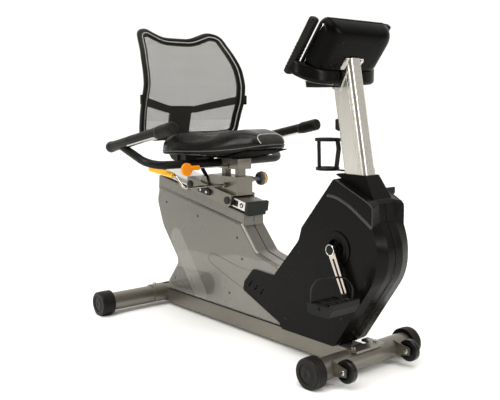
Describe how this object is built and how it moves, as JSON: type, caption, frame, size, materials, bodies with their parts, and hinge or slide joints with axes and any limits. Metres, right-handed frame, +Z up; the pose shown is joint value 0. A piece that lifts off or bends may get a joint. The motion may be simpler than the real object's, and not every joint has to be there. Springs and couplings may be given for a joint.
{
  "type": "recumbent exercise bike",
  "caption": "Recumbent exercise bike: sliding, reclining mesh-backed seat, crank and flywheel in casings, mast with console, bottle cage, side grips and transport wheels.",
  "frame": {"origin": "on the floor, under the middle of the bike's bounding box", "axes": "+X the way the rider faces, +Y the rider's left, +Z up"},
  "size_m": [1.341, 0.7658, 1.2063],
  "materials": {
    "frame_paint": "satin champagne metallic paint",
    "foot_rubber": "matt black moulded plastic",
    "bolt_steel": "zinc plated, bright",
    "black_steel": "semi-gloss black powder coat",
    "wheel_rubber": "matt black",
    "rail_aluminium": "brushed, bright",
    "charcoal_plastic": "textured charcoal",
    "silver_casing": "glossy warm silver grey",
    "black_casing": "satin black moulded plastic",
    "polished_steel": "polished",
    "pulley_aluminium": "machined",
    "cast_iron": "machined rim, grey paint",
    "belt_rubber": "matt black",
    "mast_aluminium": "bright satin anodised",
    "bezel_plastic": "fine texture",
    "display_glass": "clear window",
    "key_plastic": "smooth",
    "cage_plastic": "satin black",
    "pedal_plastic": "textured black",
    "strap_rubber": "flexible black strap",
    "roller_plastic": "nylon",
    "black_vinyl": "grained black vinyl",
    "grip_rubber": "soft black grip",
    "back_frame_plastic": "satin black moulding",
    "back_mesh": "open knitted mesh",
    "yellow_plastic": "dipped yellow vinyl",
    "orange_plastic": "moulded orange",
    "knob_rubber": "soft grey rubber"
  },
  "bodies": {
    "root": {"main_beam": "frame_paint", "rear_foot": "frame_paint", "front_foot": "frame_paint", "foot_bolts": "bolt_steel", "foot_caps": "foot_rubber", "seat_post_frame": "black_steel", "seat_rail": "rail_aluminium", "rail_end_caps": "charcoal_plastic", "rear_shroud_right": "silver_casing", "rear_shroud_left": "silver_casing", "front_shroud_right": "black_casing", "front_shroud_left": "black_casing", "shroud_screws": "black_steel", "mast_boot": "black_casing", "drive_frame": "black_steel", "crank_bearings": "polished_steel", "flywheel_axle": "polished_steel", "drive_belt": "belt_rubber", "mast": "mast_aluminium", "mast_bracket": "bolt_steel", "console_shell": "black_casing", "console_face": "bezel_plastic", "console_display": "display_glass", "console_handlebar": "black_casing", "bottle_cage": "cage_plastic"},
    "wheel_right": {"transport_wheel_right": "wheel_rubber"},
    "wheel_left": {"transport_wheel_left": "wheel_rubber"},
    "crank": {"crank_axle": "polished_steel", "drive_pulley": "pulley_aluminium", "crank_arm_right": "polished_steel", "crank_arm_left": "polished_steel", "pedal_spindles": "polished_steel"},
    "right_pedal": {"pedal_right": "pedal_plastic", "pedal_strap_right": "strap_rubber"},
    "left_pedal": {"pedal_left": "pedal_plastic", "pedal_strap_left": "strap_rubber"},
    "flywheel": {"flywheel": "cast_iron"},
    "brake": {"brake_arm": "black_steel"},
    "carriage": {"carriage_frame": "frame_paint", "carriage_side_caps": "charcoal_plastic", "seat_mount": "frame_paint", "seat_pan": "black_steel", "seat_cushion": "black_vinyl", "seat_handlebar": "black_steel", "handlebar_grips": "grip_rubber", "pulse_plates": "bolt_steel"},
    "front_rollers": {"carriage_rollers_front": "roller_plastic"},
    "rear_rollers": {"carriage_rollers_rear": "roller_plastic"},
    "seat_back": {"seat_back_frame": "back_frame_plastic", "seat_back_mesh": "back_mesh", "seat_back_support": "black_steel"},
    "gas_cylinder": {"strut_cylinder": "black_steel"},
    "gas_rod": {"strut_rod": "polished_steel"},
    "slide_handle": {"slide_lever": "polished_steel", "slide_lever_grip": "yellow_plastic"},
    "recline_handle": {"recline_lever": "polished_steel", "recline_paddle": "orange_plastic"},
    "knob": {"lock_knob": "knob_rubber"},
    "start_key": {"console_start_key": "key_plastic"},
    "rocker": {"console_rocker": "key_plastic"}
  },
  "joints": [
    {"name": "wheel_right_spin", "type": "hinge", "parent": "root", "child": "wheel_right", "pos_m": [0.6135, -0.158, 0.057], "axis": [0, 1, 0], "continuous": true},
    {"name": "wheel_left_spin", "type": "hinge", "parent": "root", "child": "wheel_left", "pos_m": [0.6135, 0.158, 0.057], "axis": [0, 1, 0], "continuous": true},
    {"name": "crank_spin", "type": "hinge", "parent": "root", "child": "crank", "pos_m": [0.4855, 0, 0.422], "axis": [0, 1, 0], "continuous": true},
    {"name": "right_pedal_spin", "type": "hinge", "parent": "crank", "child": "right_pedal", "pos_m": [0.56056, -0.1745, 0.26392], "axis": [0, 1, 0], "continuous": true},
    {"name": "left_pedal_spin", "type": "hinge", "parent": "crank", "child": "left_pedal", "pos_m": [0.41044, 0.1745, 0.58008], "axis": [0, 1, 0], "continuous": true},
    {"name": "flywheel_spin", "type": "hinge", "parent": "root", "child": "flywheel", "pos_m": [0.3995, 0.05, 0.225], "axis": [0, 1, 0], "continuous": true},
    {"name": "brake_swing", "type": "hinge", "parent": "root", "child": "brake", "pos_m": [0.3095, 0.05, 0.33], "axis": [0, 1, 0], "range_deg": [-5, 2.5]},
    {"name": "seat_slide", "type": "slide", "parent": "root", "child": "carriage", "axis": [0.9842, 0, -0.1771], "range_m": [-0.215, 0.042]},
    {"name": "front_roller_spin", "type": "hinge", "parent": "carriage", "child": "front_rollers", "pos_m": [-0.11786, 0, 0.52097], "axis": [0, 1, 0], "range_deg": [-1030, 215]},
    {"name": "rear_roller_spin", "type": "hinge", "parent": "carriage", "child": "rear_rollers", "pos_m": [-0.36391, 0, 0.56524], "axis": [0, 1, 0], "range_deg": [-1030, 215]},
    {"name": "recline", "type": "hinge", "parent": "carriage", "child": "seat_back", "pos_m": [-0.3855, 0, 0.672], "axis": [0, -1, 0], "range_deg": [0, 18]},
    {"name": "gas_cylinder_swing", "type": "hinge", "parent": "carriage", "child": "gas_cylinder", "pos_m": [-0.2805, -0.032, 0.592], "axis": [0, -1, 0], "range_deg": [-11, 1]},
    {"name": "gas_rod_slide", "type": "slide", "parent": "gas_cylinder", "child": "gas_rod", "axis": [-0.6881, 0, 0.7256], "range_m": [-0.001, 0.0112]},
    {"name": "slide_lever_pull", "type": "hinge", "parent": "carriage", "child": "slide_handle", "pos_m": [-0.1445, -0.06, 0.579], "axis": [0, 1, 0], "range_deg": [0, 4], "stiffness_Nm_per_rad": 4, "springref_deg": -14.32},
    {"name": "recline_lever_lift", "type": "hinge", "parent": "carriage", "child": "recline_handle", "pos_m": [-0.1405, -0.034, 0.655], "axis": [-1, 0, 0], "range_deg": [0, 4.5], "stiffness_Nm_per_rad": 2, "springref_deg": -11.46},
    {"name": "knob_turn", "type": "hinge", "parent": "carriage", "child": "knob", "pos_m": [-0.1025, 0.06, 0.599], "axis": [0, 1, 0], "range_deg": [0, 180]},
    {"name": "start_key_press", "type": "slide", "parent": "root", "child": "start_key", "axis": [0.8049, 0, -0.5934], "range_m": [0, 0.002], "stiffness_N_per_m": 600, "springref_m": -0.0015},
    {"name": "rocker_tilt", "type": "hinge", "parent": "root", "child": "rocker", "pos_m": [0.40754, -0.06, 1.05918], "axis": [0.5934, 0, 0.8049], "range_deg": [-3, 3], "stiffness_Nm_per_rad": 0.6}
  ],
  "couplings": [
    {"joint": "flywheel_spin", "follows": "crank_spin", "ratio": 4.5935},
    {"joint": "front_roller_spin", "follows": "seat_slide", "rad_per_m": 81.967},
    {"joint": "rear_roller_spin", "follows": "seat_slide", "rad_per_m": 81.967},
    {"joint": "gas_cylinder_swing", "follows": "recline", "ratio": -0.5155},
    {"joint": "gas_rod_slide", "follows": "recline", "m_per_rad": 0.0324}
  ]
}
